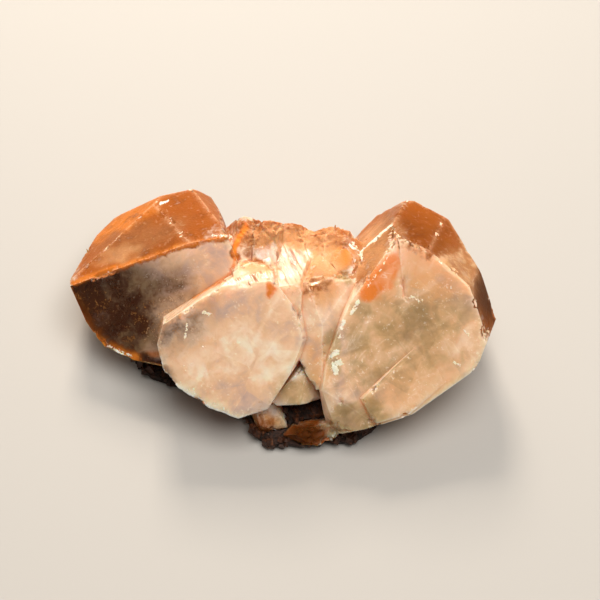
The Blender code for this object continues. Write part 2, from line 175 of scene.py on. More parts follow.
# Zones on the crystals, by kind. Each has its middle across and up, its reach across and up, its turn
# in degrees, its strength, and the facets it lies on: front ones face the viewer, side ones don't, and
# any are both. Stain covers the calcite, and faded stain is paler. Gloss is smooth and fluted, druse is
# a crust of tiny crystals, and the other kinds are colours
ZONES = {
    "smoke": [
        (-51.0, 2.0, 10.5, 14.0, 0, 1.0, "front"),
        (-44.0, -3.0, 14.0, 16.0, 15, 0.85, "front"),
        (-37.0, 14.0, 14.0, 5.0, 22, 0.35, "side"),
        (-36.0, -2.0, 20.0, 17.0, 10, 0.6, "front"),
        (-36.0, -15.5, 9.0, 4.5, -25, 0.95, "any"),
        (-12.0, 11.0, 3.0, 3.0, 0, 0.35, "any"),
        (-8.0, -30.5, 5.5, 2.2, 0, 0.6, "any"),
        (0.0, -25.0, 6.0, 2.5, 0, 0.5, "any"),
        (1.0, -31.5, 7.5, 6.0, 0, 1.0, "any"),
        (5.0, 4.0, 5.0, 3.5, 0, 0.12, "any"),
        (13.0, -28.0, 7.0, 5.0, 25, 0.25, "any"),
        (28.0, 14.0, 12.0, 7.0, -35, 0.45, "side"),
        (38.0, 6.0, 7.0, 9.0, 20, 0.4, "side"),
        (43.5, 1.0, 5.0, 9.0, 10, 1.0, "side"),
    ],
    "olive": [
        (-40.0, 2.0, 12.0, 9.0, 18, 0.6, "front"),
        (-39.0, -7.0, 8.0, 7.0, 0, 0.8, "front"),
        (-1.0, -21.0, 7.0, 5.0, 0, 0.75, "any"),
        (7.5, -13.0, 3.0, 10.0, 0, 0.7, "any"),
        (9.5, 5.8, 4.0, 2.0, 0, 0.9, "any"),
        (13.0, -28.0, 11.0, 6.0, 25, 1.0, "any"),
        (16.0, -7.0, 9.0, 12.0, -10, 0.65, "front"),
        (26.0, -10.0, 22.0, 18.0, 20, 0.7, "front"),
        (31.0, -3.0, 8.0, 6.0, 20, 0.5, "front"),
        (38.0, 5.0, 7.0, 9.0, 20, 0.35, "side"),
    ],
    "mauve": [
        (-22.0, -22.5, 8.0, 2.5, -28, 1.0, "any"),
        (-22.0, 7.0, 9.0, 7.0, 20, 0.6, "front"),
        (-16.0, -23.5, 9.0, 4.5, -15, 0.9, "front"),
        (-14.0, -1.0, 11.0, 7.0, 10, 0.9, "front"),
        (-10.0, 10.5, 4.5, 3.5, 0, 1.0, "any"),
        (-9.0, 7.6, 7.0, 2.2, 5, 1.0, "any"),
        (8.0, 6.0, 7.0, 2.5, 0, 1.0, "any"),
        (13.0, -14.0, 6.0, 12.0, -10, 1.0, "front"),
        (16.0, -18.0, 11.0, 8.0, 20, 0.9, "front"),
        (26.0, -8.0, 12.0, 8.0, 20, 0.7, "front"),
    ],
    "cream": [
        (-27.0, -5.5, 7.5, 7.5, 0, 1.0, "front"),
        (-24.0, -8.0, 6.0, 8.0, 0, 0.5, "front"),
        (-24.0, -12.0, 5.0, 9.0, 0, 0.5, "front"),
        (-10.0, -12.0, 12.0, 8.0, -20, 0.3, "front"),
        (18.0, -9.0, 7.0, 7.0, 0, 0.25, "front"),
        (27.0, 6.0, 6.0, 9.0, 0, 0.4, "front"),
        (31.0, -19.0, 12.0, 5.0, 30, 0.25, "front"),
        (36.0, -8.0, 7.0, 9.0, 0, 0.25, "front"),
    ],
    "tan": [
        (-25.0, -9.0, 7.0, 10.0, 0, 0.35, "front"),
        (-24.0, -1.0, 12.0, 5.0, 35, 0.4, "front"),
        (-9.0, 7.6, 7.0, 2.2, 5, 1.0, "any"),
        (-8.0, -29.0, 6.0, 3.0, 0, 1.0, "any"),
        (4.0, -15.0, 5.0, 9.0, 0, 0.7, "front"),
        (4.5, 3.5, 6.5, 5.5, 0, 1.0, "any"),
        (19.0, 3.0, 6.0, 6.0, 0, 1.0, "front"),
        (26.0, -6.0, 22.0, 18.0, 20, 0.35, "front"),
        (28.0, -20.0, 16.0, 8.0, 30, 0.5, "front"),
        (31.0, 6.0, 11.0, 13.0, 0, 0.7, "any"),
        (38.0, 8.0, 9.0, 12.0, 0, 1.0, "side"),
    ],
    "stain": [
        (-35.0, 15.5, 30.0, 13.0, 22, 1.0, "side"),
        (-15.0, 11.0, 1.4, 5.0, 5, 0.9, "any"),
        (-10.0, 11.0, 6.0, 3.5, 0, 0.45, "any"),
        (-8.0, -30.0, 6.0, 3.0, 0, 0.6, "any"),
        (-7.5, -27.5, 5.0, 4.0, 0, 0.5, "any"),
        (-7.0, 2.8, 1.6, 2.4, 0, 0.45, "any"),
        (-2.0, 16.2, 21.0, 6.0, 0, 1.0, "any"),
        (1.0, -31.5, 7.5, 6.0, 0, 1.0, "any"),
        (3.5, 5.0, 6.0, 5.0, 0, 0.6, "front"),
        (6.0, 8.0, 8.0, 5.0, 0, 1.0, "side"),
        (10.0, 10.5, 5.0, 5.0, 0, 1.0, "any"),
        (16.0, 9.0, 5.0, 9.0, -30, 0.9, "side"),
        (18.0, 15.5, 6.0, 9.0, -35, 1.0, "side"),
        (28.0, 12.0, 8.0, 3.5, -35, 0.5, "front"),
        (30.0, 17.0, 13.0, 9.0, -35, 1.0, "side"),
        (39.0, 7.0, 8.0, 12.0, 20, 0.5, "side"),
        (44.0, 0.0, 6.0, 11.0, 10, 1.0, "side"),
    ],
    "amber": [
        (-41.0, 18.5, 12.0, 2.2, 32, 0.45, "side"),
        (-7.0, 2.8, 2.0, 3.0, 0, 0.8, "any"),
        (10.5, 11.0, 2.6, 3.2, -30, 0.7, "any"),
        (19.0, 5.6, 4.2, 8.5, -34, 1.0, "front"),
        (47.0, 0.0, 2.4, 8.0, 10, 0.8, "side"),
    ],
    "faded": [
        (-41.5, 10.5, 7.0, 2.5, 22, 0.7, "side"),
        (-37.0, 14.5, 12.0, 4.0, 22, 0.25, "side"),
        (-2.0, 14.5, 15.0, 4.5, 0, 0.7, "any"),
        (6.0, 9.0, 9.0, 6.0, 0, 0.9, "any"),
        (17.5, 12.0, 5.5, 9.0, -35, 0.65, "side"),
        (39.0, 5.0, 7.0, 9.0, 20, 0.5, "side"),
    ],
    "gloss": [
        (-12.0, 5.4, 9.0, 3.4, 0, 1.0, "side"),
        (-2.5, 8.6, 5.0, 7.0, 0, 1.0, "any"),
    ],
    "druse": [
        (-45.0, -12.5, 8.0, 3.0, -30, 0.6, "any"),
        (-22.0, -23.0, 9.0, 2.5, -28, 0.35, "any"),
        (-9.0, 15.5, 9.0, 3.5, 0, 1.0, "any"),
        (5.0, 14.5, 8.0, 4.5, 0, 0.8, "any"),
        (6.0, -32.0, 8.0, 4.5, 0, 1.0, "any"),
    ],
}

# The border between the left crystal's front and its stained top
LEFT_BORDER = [(-53.0, 3.6), (-47.2, 5.8), (-39.7, 8.4), (-35.0, 10.0), (-26.9, 12.8), (-16.8, 14.7)]

# Lines on the crystals, by kind. Each has its width, its strength, and its points across and up. Soft
# lines round off the edges that they follow, chips are broken edges with painted highlights and glints
# on them, bands are pale, partly as the calcite's own tone and partly as painted light along edges and
# on a shaded wall, and stain and amber are as in the zones
LINES = {
    "soft": [
        (1.6, 1.0, [(0.8, 4.2), (6.0, 5.2), (12.3, 5.6)]),
        (1.2, 1.0, [(22.4, 15.6), (22.8, 14.2), (24.6, 0.4)]),
        (2.0, 1.0, [(30.8, 12.4), (35.5, 8.2), (39.9, 3.5)]),
    ],
    "chip_and_glint": [
        (0.72, 0.6, [(-50.0, -5.8), (-47.5, -8.6)]),
        (0.8, 0.7, [(-45.0, -10.9), (-40.0, -13.2)]),
        (0.4, 0.9, [(-32.4, 22.6), (-30.6, 23.3)]),
        (1.3, 0.45, [(-27.5, -20.0), (-23.0, -23.2)]),
        (0.64, 0.6, [(-27.2, -15.6), (-26.6, -16.8)]),
        (0.56, 0.8, [(-26.7, -5.8), (-26.6, -8.8)]),
        (0.48, 0.7, [(-23.2, -10.6), (-21.9, -10.9)]),
        (0.72, 0.7, [(-22.6, -2.6), (-20.6, -3.4)]),
        (1.1, 0.45, [(-20.5, -24.4), (-15.2, -27.2)]),
        (0.56, 0.8, [(-20.3, 14.9), (-15.9, 14.7)]),
        (0.48, 0.6, [(-17.2, -3.4), (-16.9, -3.9)]),
        (1.0, 1.0, [(8.6, -12.2), (7.3, -13.3)]),
        (0.5, 0.9, [(9.2, -8.4), (9.1, -8.9)]),
        (1.2, 1.0, [(9.2, -14.5), (8.0, -15.3), (8.3, -16.9)]),
        (0.7, 1.0, [(10.2, -5.0), (9.7, -6.6)]),
        (0.96, 0.7, [(12.4, 13.6), (13.6, 11.6), (15.2, 9.8)]),
        (0.9, 1.0, [(13.6, -0.3), (12.2, -2.7)]),
        (0.4, 0.9, [(14.5, 11.7), (18.0, 14.6), (21.7, 17.8)]),
        (0.4, 0.6, [(19.0, 7.2), (16.0, 3.5)]),
        (0.4, 0.8, [(20.6, 9.9), (19.5, 8.0)]),
        (0.8, 0.6, [(26.0, 0.4), (28.8, -0.6)]),
        (0.48, 0.7, [(32.6, 8.6), (33.2, 8.0)]),
        (0.48, 0.7, [(35.3, 2.9), (35.7, 2.2)]),
        (0.72, 0.7, [(36.0, -14.6), (37.8, -15.4)]),
        (0.56, 0.7, [(38.4, -6.8), (39.6, -8.6)]),
    ],
    # Pale bands: partly the calcite's tone, partly painted light along edges and on a shaded wall
    "band": [
        (1.5, 0.8, [(-30.0, -7.0), (-32.0, -11.0), (-30.8, -16.4)]),
        (0.8, 0.7, [(-4.7, 1.2), (-8.0, -5.0), (-11.7, -11.7)]),
        (1.4, 0.7, [(0.9, -4.2), (3.6, -7.0), (0.6, -15.5)]),
        (1.6, 0.7, [(10.0, -22.0), (17.0, -15.0), (30.0, -7.0)]),
        (1.0, 0.9, [(13.3, -24.8), (22.2, -16.8), (31.0, -12.0)]),
        (1.4, 1.0, [(22.8, 14.0), (23.6, 7.0), (24.4, 1.0)]),
        (1.6, 0.7, [(28.0, -24.0), (38.0, -10.0), (41.0, -5.0)]),
    ],
    "stain": [
        (1.6, 0.8, LEFT_BORDER),
        (3.2, 0.9, [(-52.5, -1.5), (-50.2, -6.0), (-45.2, -11.0), (-39.0, -14.0)]),
        (0.9, 0.7, [(-12.8, 8.8), (-8.0, 9.2), (-5.6, 6.0)]),
    ],
    "amber": [
        (0.9, 0.5, LEFT_BORDER),
        (1.6, 0.7, [(-49.0, -8.0), (-45.2, -11.0), (-40.0, -13.5), (-33.0, -12.5)]),
        (0.7, 0.7, [(-15.2, 9.5), (-16.0, 6.2), (-20.0, 3.4), (-25.0, 0.4)]),
        (1.0, 0.9, [(-12.8, 17.5), (-14.6, 14.5), (-15.2, 11.0)]),
    ],
}

# What each corner of the crystals' mesh carries for their material. Rim highlight and glow tell how near
# it is to an edge that sticks out, within a short and a long reach: there a painted highlight lies on
# rims that turn up, and a painted glow stands in for light through thin calcite. Seam tells how near it
# is to a hollow edge
ZONE_MARKS = ("smoke", "olive", "mauve", "cream", "tan", "stain", "amber", "faded", "gloss")
LINE_MARKS = ("stain", "amber", "chip_and_glint", "band")
EDGE_MARKS = ("rim", "glow", "seam")

# The soft lights: the way each shines from, its distance and its width in metres, and its tint
LIGHTS = {
    "key": ((-0.12, 0.81, 0.57), 0.6, 0.16, (1.0, 0.88, 0.74)),
    "back": ((-0.33, 0.82, 0.47), 1.0, 0.7, (1.0, 0.93, 0.85)),
    "fill": ((0.2, 0.0, 1.0), 1.0, 0.8, (1.0, 0.97, 0.92)),
}

# The tint and the strength of the light from all around
SURROUNDINGS = ((1.0, 0.92, 0.83, 1.0), 0.16)


class CrystalSettings(bpy.types.PropertyGroup):
    """Sizes and colours of the crystals."""

    fine_mesh: bpy.props.FloatProperty(
        name="Fine Mesh", description="Length of the mesh's edges near the crystals' edges",
        default=0.45 * MM, unit="LENGTH", precision=5)
    coarse_mesh: bpy.props.FloatProperty(
        name="Coarse Mesh", description="Length of the mesh's edges in the middle of the faces",
        default=0.9 * MM, unit="LENGTH", precision=5)
    peach: bpy.props.FloatVectorProperty(
        name="Peach", description="Cloudy calcite", subtype="COLOR", default=(0.84, 0.55, 0.34))
    cream: bpy.props.FloatVectorProperty(
        name="Cream", description="The palest clouds and veils", subtype="COLOR",
        default=(1.0, 0.80, 0.63))
    mauve: bpy.props.FloatVectorProperty(
        name="Mauve", description="The greyest clouds", subtype="COLOR", default=(0.67, 0.48, 0.41))
    olive: bpy.props.FloatVectorProperty(
        name="Olive", description="Clear, greenish grey calcite", subtype="COLOR",
        default=(0.57, 0.39, 0.185))
    tan: bpy.props.FloatVectorProperty(
        name="Tan", description="Calcite with a little stain in it", subtype="COLOR",
        default=(0.80, 0.44, 0.21))
    smoke: bpy.props.FloatVectorProperty(
        name="Smoke", description="Dark brown, clear calcite", subtype="COLOR", default=(0.065, 0.017, 0.003))
    # Golden flecks: painted reflections of light inside the smoky calcite
    golden_glint: bpy.props.FloatVectorProperty(
        name="Gold", description="Flecks in the smoky parts", subtype="COLOR", default=(0.60, 0.26, 0.06))
    orange: bpy.props.FloatVectorProperty(
        name="Orange", description="Iron stain", subtype="COLOR", default=(0.33, 0.085, 0.011))
    rust: bpy.props.FloatVectorProperty(
        name="Rust", description="Thick iron stain", subtype="COLOR", default=(0.20, 0.05, 0.008))
    amber: bpy.props.FloatVectorProperty(
        name="Amber", description="The brightest iron stain", subtype="COLOR", default=(0.82, 0.25, 0.03))
    # Chips: broken edges, with painted highlights and glints in the same colour, also used for flecks
    chip_and_glint: bpy.props.FloatVectorProperty(
        name="Chip", description="Broken edges", subtype="COLOR", default=(1.0, 0.90, 0.74))
    clear: bpy.props.FloatVectorProperty(
        name="Clear", description="Light through clear calcite", subtype="COLOR", default=(1.0, 0.86, 0.68))
    clear_smoke: bpy.props.FloatVectorProperty(
        name="Clear Smoke", description="Light through smoky calcite", subtype="COLOR",
        default=(0.30, 0.10, 0.025))


class RockSettings(bpy.types.PropertyGroup):
    """Sizes and colours of the rock."""

    mesh_size: bpy.props.FloatProperty(
        name="Mesh", description="Length of the mesh's edges",
        default=0.8 * MM, unit="LENGTH", precision=5)
    roughness_height: bpy.props.FloatProperty(
        name="Crust", description="Depth of the crust's lumps and pits",
        default=0.8 * MM, unit="LENGTH", precision=5)
    brown: bpy.props.FloatVectorProperty(
        name="Brown", description="Iron-stained rock", subtype="COLOR", default=(0.055, 0.018, 0.008))
    dark: bpy.props.FloatVectorProperty(
        name="Dark", description="The rock's hollows", subtype="COLOR", default=(0.010, 0.004, 0.002))
    # The glassy grains' colour, also laid on the glint spots as a painted highlight
    glint: bpy.props.FloatVectorProperty(
        name="Glint", description="Small glassy grains", subtype="COLOR", default=(0.20, 0.07, 0.025))


class StageSettings(bpy.types.PropertyGroup):
    """The studio."""

    floor_size: bpy.props.FloatProperty(
        name="Floor", description="Width of the floor", default=3.0, unit="LENGTH")
    floor_colour: bpy.props.FloatVectorProperty(
        name="Floor Colour", description="Pale floor", subtype="COLOR", default=(0.47, 0.45, 0.425))
    key_power: bpy.props.FloatProperty(
        name="Key", description="Power of the small light behind the specimen", default=3.4, unit="POWER")
    back_power: bpy.props.FloatProperty(
        name="Back", description="Power of the broad light behind the specimen", default=2.2, unit="POWER")
    fill_power: bpy.props.FloatProperty(
        name="Fill", description="Power of the broad light above the specimen", default=11.5, unit="POWER")


class Term:
    """A socket of a shader's node tree that can be used in sums and products."""

    def __init__(self, shading, socket):
        self.shading = shading
        self.socket = socket

    def worked(self, operation, *others):
        values = dict(enumerate((self, *others)))
        return self.shading.node("ShaderNodeMath", {"operation": operation}, values)

    def __add__(self, other):
        return self.worked("ADD", other)

    __radd__ = __add__

    def __sub__(self, other):
        return self.worked("SUBTRACT", other)

    def __rsub__(self, other):
        return self.shading.node("ShaderNodeMath", {"operation": "SUBTRACT"}, {0: other, 1: self})

    def __mul__(self, other):
        return self.worked("MULTIPLY", other)

    __rmul__ = __mul__

    def band(self, low, high):
        """0 below low, 1 above high, and smooth between them."""
        return self.shading.node(
            "ShaderNodeMapRange",
            {"interpolation_type": "SMOOTHSTEP"},
            {"Value": self, "From Min": low, "From Max": high},
        )


class Shading:
    """A material and the nodes in it."""

    def __init__(self, name):
        self.material = bpy.data.materials.new(name)
        self.material.use_nodes = True
        self.tree = self.material.node_tree
        self.tree.nodes.clear()
        self.place = self.node("ShaderNodeTexCoord", output="Object")

    def node(self, kind, settings=None, values=None, output=0):
        """Adds a node, with its settings made first, and gives one of its outputs if it has any."""
        made = self.tree.nodes.new(kind)
        for name, value in (settings or {}).items():
            setattr(made, name, value)
        for name, value in (values or {}).items():
            if isinstance(value, Term):
                self.tree.links.new(value.socket, made.inputs[name])
            else:
                made.inputs[name].default_value = value
        if made.outputs:
            return Term(self, made.outputs[output])

    def stored(self, name):
        """A value that the mesh carries under this name."""
        return self.node("ShaderNodeAttribute", {"attribute_name": name}, output="Fac")

    def clouds(self, size, detail=4.0, distortion=0.0, place=None):
        """Noise from 0 to 1, with lumps of about this size."""
        values = {
            "Vector": place or self.place,
            "Scale": 1.0 / size,
            "Detail": detail,
            "Distortion": distortion,
        }
        return self.node("ShaderNodeTexNoise", {}, values)

    def cells(self, size, feature="F1", output="Distance"):
        """Distance to the nearest of scattered points, this far apart, or a value for each one's cell."""
        values = {"Vector": self.place, "Scale": 1.0 / size}
        return self.node("ShaderNodeTexVoronoi", {"feature": feature}, values, output)

    def drawn_out(self, way, factor):
        """The place, for patterns that are longer one way by this factor."""
        way = Vector(way).normalized()
        values = {0: self.place, 1: way}
        along = self.node("ShaderNodeVectorMath", {"operation": "DOT_PRODUCT"}, values, "Value")
        values = {0: way, "Scale": along * (1.0 / factor - 1.0)}
        change = self.node("ShaderNodeVectorMath", {"operation": "SCALE"}, values)
        return self.node("ShaderNodeVectorMath", {"operation": "ADD"}, {0: self.place, 1: change})

    def mixed(self, first, second, share):
        """A colour between two others."""
        values = {MIX_SHARE: share, MIX_FIRST: colour(first), MIX_SECOND: colour(second)}
        return self.node("ShaderNodeMix", {"data_type": "RGBA"}, values, MIX_RESULT)

    def layered(self, base, *layers):
        """A colour with others laid over it one after the other, each to its share."""
        for layer, share in layers:
            base = self.mixed(base, layer, share)
        return base

    def bumped(self, height, depth):
        """The normal of a surface whose relief is height times depth."""
        return self.node("ShaderNodeBump", {}, {"Height": height, "Distance": depth})

    def principled(self, values, subsurface=False):
        """A Principled shader, by random walk where light spreads under the surface."""
        settings = {"subsurface_method": "RANDOM_WALK"} if subsurface else {}
        return self.node("ShaderNodeBsdfPrincipled", settings, values)

    def finished(self, surface, volume=None):
        """Ends the material."""
        values = {"Surface": surface}
        if volume:
            values["Volume"] = volume
        self.node("ShaderNodeOutputMaterial", {}, values)
        return self.material


def colour(value):
    """A colour as a shader socket takes it: a link stays as it is, three numbers get an alpha."""
    return value if isinstance(value, Term) else (*value, 1.0)


def merged_copy(node):
    """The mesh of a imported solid, its triangles joined at their corners."""
    mesh = bmesh.new()
    mesh.from_mesh(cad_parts[node].data)
    bmesh.ops.remove_doubles(mesh, verts=mesh.verts, dist=WELD)
    return mesh


def mark_creases(mesh, least_angle):
    """Makes each edge where two faces meet at more than least_angle a sharp one."""
    for edge in mesh.edges:
        edge.smooth = edge.calc_face_angle(0.0) < least_angle


def refine(mesh, wanted):
    """Splits edges in a few rounds, until each is about as long as wanted says for its middle."""
    for _ in range(REFINE_ROUNDS):
        long_edges = []
        for edge in mesh.edges:
            middle = 0.5 * (edge.verts[0].co + edge.verts[1].co)
            if edge.calc_length() > TOO_LONG * wanted(middle):
                long_edges.append(edge)
        if not long_edges:
            break
        bmesh.ops.subdivide_edges(mesh, edges=long_edges, cuts=1)
        bmesh.ops.triangulate(mesh, faces=[face for face in mesh.faces if len(face.verts) > 3])


def smooth(mesh, verts, rounds):
    """Moves corners towards the middle of their neighbours."""
    for _ in range(rounds):
        bmesh.ops.smooth_vert(
            mesh, verts=verts, factor=0.5, use_axis_x=True, use_axis_y=True, use_axis_z=True
        )


def even_out(mesh):
    """Evens the triangles out inside each flat face."""
    inner = [vert for vert in mesh.verts if all(edge.smooth for edge in vert.link_edges)]
    smooth(mesh, inner, EVEN_ROUNDS)


def soften(mesh):
    """Rounds off the edges along the soft lines."""
    mesh.normal_update()
    mesh.verts.ensure_lookup_table()
    across, up = picture_places(np.array([vert.co for vert in mesh.verts]))
    facing = np.array([vert.normal for vert in mesh.verts]) @ np.array(OUT)
    chosen = np.flatnonzero((line_strength("soft", across, up) > 0.0) & (facing > 0.0))
    verts = [mesh.verts[index] for index in chosen]
    for edge in {edge for vert in verts for edge in vert.link_edges}:
        edge.smooth = True
    smooth(mesh, verts, SOFTEN_ROUNDS)


def plant(grains, faces, count, sizes, draw):
    """Puts small rhombs on faces picked at random, each with one corner out."""
    corner_up = Vector((1.0, 1.0, 1.0)).rotation_difference(Vector((0.0, 0.0, 1.0))).to_matrix().to_4x4()
    for face in draw.choices(faces, [face.calc_area() for face in faces], k=count):
        size = draw.uniform(*sizes) * MM
        lean = Vector([draw.gauss(0.0, GRAIN_LEAN) for _ in range(3)])
        turned = Vector((0.0, 0.0, 1.0)).rotation_difference(face.normal + lean).to_matrix().to_4x4()
        spin = Matrix.Rotation(draw.uniform(0.0, math.tau), 4, "Z")
        stretch = Matrix.Diagonal([draw.uniform(*GRAIN_STRETCH) for _ in range(3)]).to_4x4()
        place = Matrix.Translation(face.calc_center_median() - face.normal * size * GRAIN_SUNK)
        bmesh.ops.create_cube(grains, size=size, matrix=place @ turned @ spin @ stretch @ corner_up)


def join_grains(mesh, grains):
    """Adds the grains to a mesh, their edges sharp, and gives how many corners came before theirs."""
    before = len(mesh.verts)
    for edge in grains.edges:
        edge.smooth = False
    bmesh.ops.triangulate(grains, faces=grains.faces)
    data = bpy.data.meshes.new("grains")
    grains.to_mesh(data)
    grains.free()
    mesh.from_mesh(data)
    bpy.data.meshes.remove(data)
    return before


def tree_of(points):
    """A search tree of points."""
    tree = kdtree.KDTree(len(points))
    for index, point in enumerate(points):
        tree.insert(point, index)
    tree.balance()
    return tree


def distances(points, tree, most):
    """How far each point is from the nearest in the tree, up to most."""
    return np.array([min(tree.find(point)[2], most) for point in points])


def steps(start, end, spacing):
    """Points from start to end, about this far apart."""
    count = max(1, int((end - start).length / spacing))
    return [start.lerp(end, step / count) for step in range(count + 1)]


def crease_points(mesh, hollow):
    """Points along the sharp edges that stick out, or along the hollow ones."""
    points = []
    for edge in mesh.edges:
        if not edge.smooth and edge.is_convex != hollow:
            points += steps(edge.verts[0].co, edge.verts[1].co, CREASE_STEP)
    return points


def line_points():
    """Points along the marked lines, on the picture plane, in millimetres."""
    points = []
    for kind in LINES.values():
        for _, _, line in kind:
            for start, end in zip(line, line[1:]):
                points += steps(Vector((*start, 0.0)), Vector((*end, 0.0)), LINE_STEP)
    return points


def noise_at(points, size, offset=0.0):
    """Noise from -1 to 1 at each point, with lumps of about this size, other ones for another offset."""
    shift = Vector((offset, offset, offset))
    return np.array([noise.noise(point / size + shift) for point in points])


def rising(values, low, high):
    """0 below low, 1 above high, and smooth between them."""
    share = np.clip((values - low) / (high - low), 0.0, 1.0)
    return share * share * (3.0 - 2.0 * share)


def seen_at(point):
    """Where one point lies on the picture plane as the viewer sees it, in millimetres across and up."""
    away = point - VIEW_TARGET
    closeness = 1.0 / (1.0 - away.dot(OUT) / VIEW_DISTANCE) / MM
    return away.dot(ACROSS) * closeness, away.dot(UP) * closeness


def picture_places(points):
    """Where points lie on the picture plane as the viewer sees them, in millimetres across and up."""
    away = points - np.array(VIEW_TARGET)
    closeness = 1.0 / (1.0 - (away @ np.array(OUT)) / VIEW_DISTANCE)
    return (away @ np.array(ACROSS)) * closeness / MM, (away @ np.array(UP)) * closeness / MM


def zone_strength(kind, across, up, facing):
    """How strongly the zones of a kind mark each place."""
    strength = np.zeros(len(across))
    for middle_across, middle_up, reach_across, reach_up, turn, most, facets in ZONES[kind]:
        angle = math.radians(turn)
        along = (across - middle_across) * math.cos(angle) + (up - middle_up) * math.sin(angle)
        aside = (up - middle_up) * math.cos(angle) - (across - middle_across) * math.sin(angle)
        distance = np.hypot(along / reach_across, aside / reach_up)
        share = most * (1.0 - rising(distance, *ZONE_FADE))
        if facets == "front":
            share = share * (facing > FRONT)
        if facets == "side":
            share = share * (facing <= FRONT)
        strength = np.maximum(strength, share)
    return strength


def line_strength(kind, across, up):
    """How strongly the lines of a kind mark each place."""
    strength = np.zeros(len(across))
    for width, most, line in LINES[kind]:
        for (start_across, start_up), (end_across, end_up) in zip(line, line[1:]):
            step = np.array((end_across - start_across, end_up - start_up))
            along = ((across - start_across) * step[0] + (up - start_up) * step[1]) / (step @ step)
            along = np.clip(along, 0.0, 1.0)
            distance = np.hypot(across - start_across - along * step[0], up - start_up - along * step[1])
            strength = np.maximum(strength, most * (1.0 - rising(distance / width, *LINE_FADE)))
    return strength


def vectors(items, attribute):
    """A vector attribute of all of a mesh's items as an array."""
    values = np.empty(len(items) * 3, np.float32)
    items.foreach_get(attribute, values)
    return values.reshape(-1, 3).astype(float)


def vertex_of_corners(data):
    """The vertex that each corner of a mesh's faces lies on."""
    indices = np.empty(len(data.loops), np.int32)
    data.loops.foreach_get("vertex_index", indices)
    return indices


def move_within(data, places, box):
    """Moves a mesh's vertices to places, none of them past a box."""
    low, high = (np.array(corner) for corner in box)
    data.vertices.foreach_set("co", np.clip(places, low, high).astype(np.float32).ravel())


def store(data, name, values):
    """Keeps a value for each corner of the mesh, for its material."""
    layer = data.attributes.new(name, "FLOAT", "CORNER")
    layer.data.foreach_set("value", values.astype(np.float32))


def as_piece(mesh, name, material):
    """Makes a mesh an object of the scene, with a material."""
    data = bpy.data.meshes.new(name)
    mesh.to_mesh(data)
    mesh.free()
    data.materials.append(material)
    piece = bpy.data.objects.new(name, data)
    bpy.context.scene.collection.objects.link(piece)
    return piece


def calcite_patterns(shade, mark):
    """The patterns that the calcite's colours, clearness and relief are made from."""
    cloud = shade.clouds(12.0 * MM, 2.0, 0.6)
    puff = shade.clouds(4.5 * MM, 3.0, 0.8)
    crumb = shade.clouds(1.3 * MM, 4.0, 0.5)
    grain = shade.clouds(0.45 * MM, 3.0)
    patch = shade.cells(7.0 * MM, "F1", "Color")
    cracks = (1.0 - shade.cells(6.0 * MM, "DISTANCE_TO_EDGE") * 14.0).band(0.0, 1.0)
    veins = (1.0 - (shade.clouds(5.0 * MM, 4.0, 1.0) - 0.5).worked("ABSOLUTE") * 22.0).band(0.0, 1.0)
    veils = shade.clouds(4.0 * MM, 4.0, 0.5, shade.drawn_out((0.75, 0.45, 0.5), 3.0))
    flutes = shade.clouds(0.9 * MM, 3.0, 0.0, shade.drawn_out((0.37, -0.91, 0.17), 9.0))
    dim = 1.0 - mark.smoke
    haze = cloud * 0.46 + puff * 0.40 + crumb * 0.14 + mark.cream * 0.16 + mark.band * 0.10
    haze = haze - mark.olive * 0.10 - mark.mauve * 0.07 + (patch - 0.5) * 0.10
    # Painted highlight on rims that turn up, broken up by noise
    ragged_rim_highlight = mark.rim * (puff * 0.5 + grain * 0.5).band(0.42, 0.58)
    return SimpleNamespace(
        cloud=cloud,
        puff=puff,
        crumb=crumb,
        grain=grain,
        mottle=puff * 0.6 + crumb * 0.25 + grain * 0.15,
        crack=cracks * cloud.band(0.45, 0.60),
        vein=veins,
        veil=veils.band(0.50, 0.75),
        flute=flutes,
        # White flecks: partly cracks in the calcite, partly painted glints
        fleck_and_glint=(crumb * 0.5 + grain * 0.5).band(0.57, 0.63) * shade.clouds(7.0 * MM).band(0.44, 0.58),
        # Golden flecks, painted reflections of light inside the smoky parts
        golden_glint=(crumb * 0.6 + grain * 0.4).band(0.53, 0.62) * cloud.band(0.36, 0.6),
        # Chips along the lines: broken edges, partly painted highlights and glints
        broken_and_glinting=(mark.chip_and_glint + (crumb - 0.5) * 1.3 + (grain - 0.5) * 1.5).band(0.50, 0.75),
        # The painted highlight on rims, kept off the smoky and olive parts
        painted_edge_light=ragged_rim_highlight * dim * (1.0 - mark.olive),
        dim=dim,
        haze=haze,
    )


